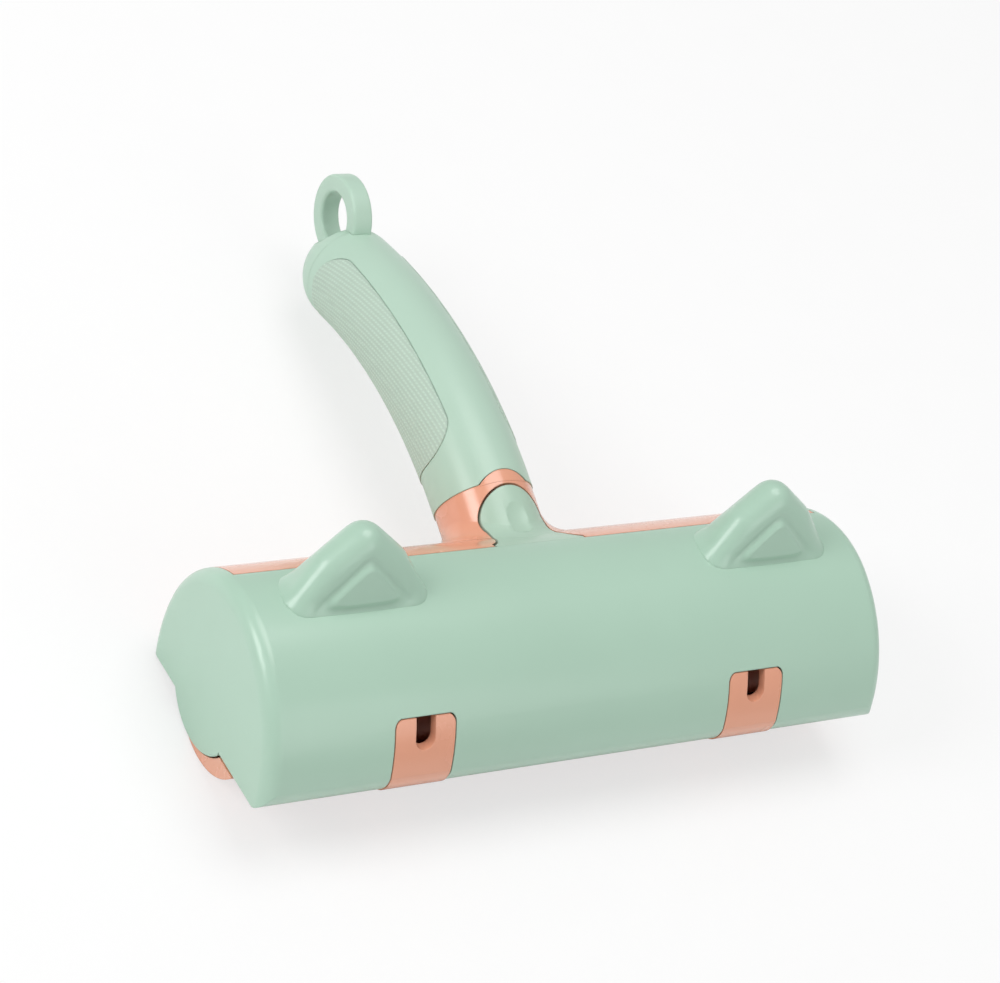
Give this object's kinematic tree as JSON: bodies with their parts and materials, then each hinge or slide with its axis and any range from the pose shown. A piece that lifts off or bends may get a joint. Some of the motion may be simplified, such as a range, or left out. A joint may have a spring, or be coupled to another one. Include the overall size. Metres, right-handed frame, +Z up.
{
  "type": "pet hair removal brush",
  "caption": "Roller brush for pet hair: a cloth roller rocks under a hinged half-round cover that holds the hair bin, with finger ears, a latch tongue and a curved handle with a hanging ring.",
  "frame": {"origin": "on the floor, under the middle of the whole brush's box", "axes": "+X along the roller, +Y from the body to the handle, +Z up from the surface the brush rests on"},
  "size_m": [0.19, 0.1961, 0.0672],
  "materials": {
    "cover_plastic": "satin gloss",
    "handle_plastic": "satin gloss",
    "grip": "fine woven dots",
    "housing_plastic": "satin gloss",
    "roller_plastic": "matte",
    "velvet": "short directional nap",
    "lip_rubber": "matte",
    "steel": "plain"
  },
  "bodies": {
    "housing": {"rear_housing": "housing_plastic", "end_plate_left": "housing_plastic", "end_plate_right": "housing_plastic", "front_rail": "housing_plastic", "hinge_tab_left": "housing_plastic", "hinge_tab_right": "housing_plastic", "hinge_pin_left": "steel", "hinge_pin_right": "steel", "wiper_front": "lip_rubber", "wiper_rear": "lip_rubber", "neck": "housing_plastic", "latch_catch": "housing_plastic", "handle_sleeve": "handle_plastic", "handle_tip": "handle_plastic", "grip_pad_left": "grip", "grip_pad_right": "grip", "hang_ring": "handle_plastic", "sleeve_screw": "steel"},
    "cover": {"cover_shell": "cover_plastic", "thumb_lobe": "cover_plastic", "ear_left": "cover_plastic", "ear_right": "cover_plastic", "ear_panel_left": "cover_plastic", "ear_panel_right": "cover_plastic"},
    "roller": {"drum_shell": "roller_plastic", "drum_cap_left": "roller_plastic", "drum_cap_right": "roller_plastic", "velvet_front": "velvet", "velvet_rear": "velvet"}
  },
  "joints": [
    {"name": "cover_hinge", "type": "hinge", "parent": "housing", "child": "cover", "pos_m": [0, -0.09409, 0.0217], "axis": [1, 0, 0], "range_deg": [0, 75]},
    {"name": "roller_rock", "type": "hinge", "parent": "housing", "child": "roller", "pos_m": [0, -0.0646, 0.0207], "axis": [1, 0, 0], "range_deg": [-22, 22]}
  ]
}
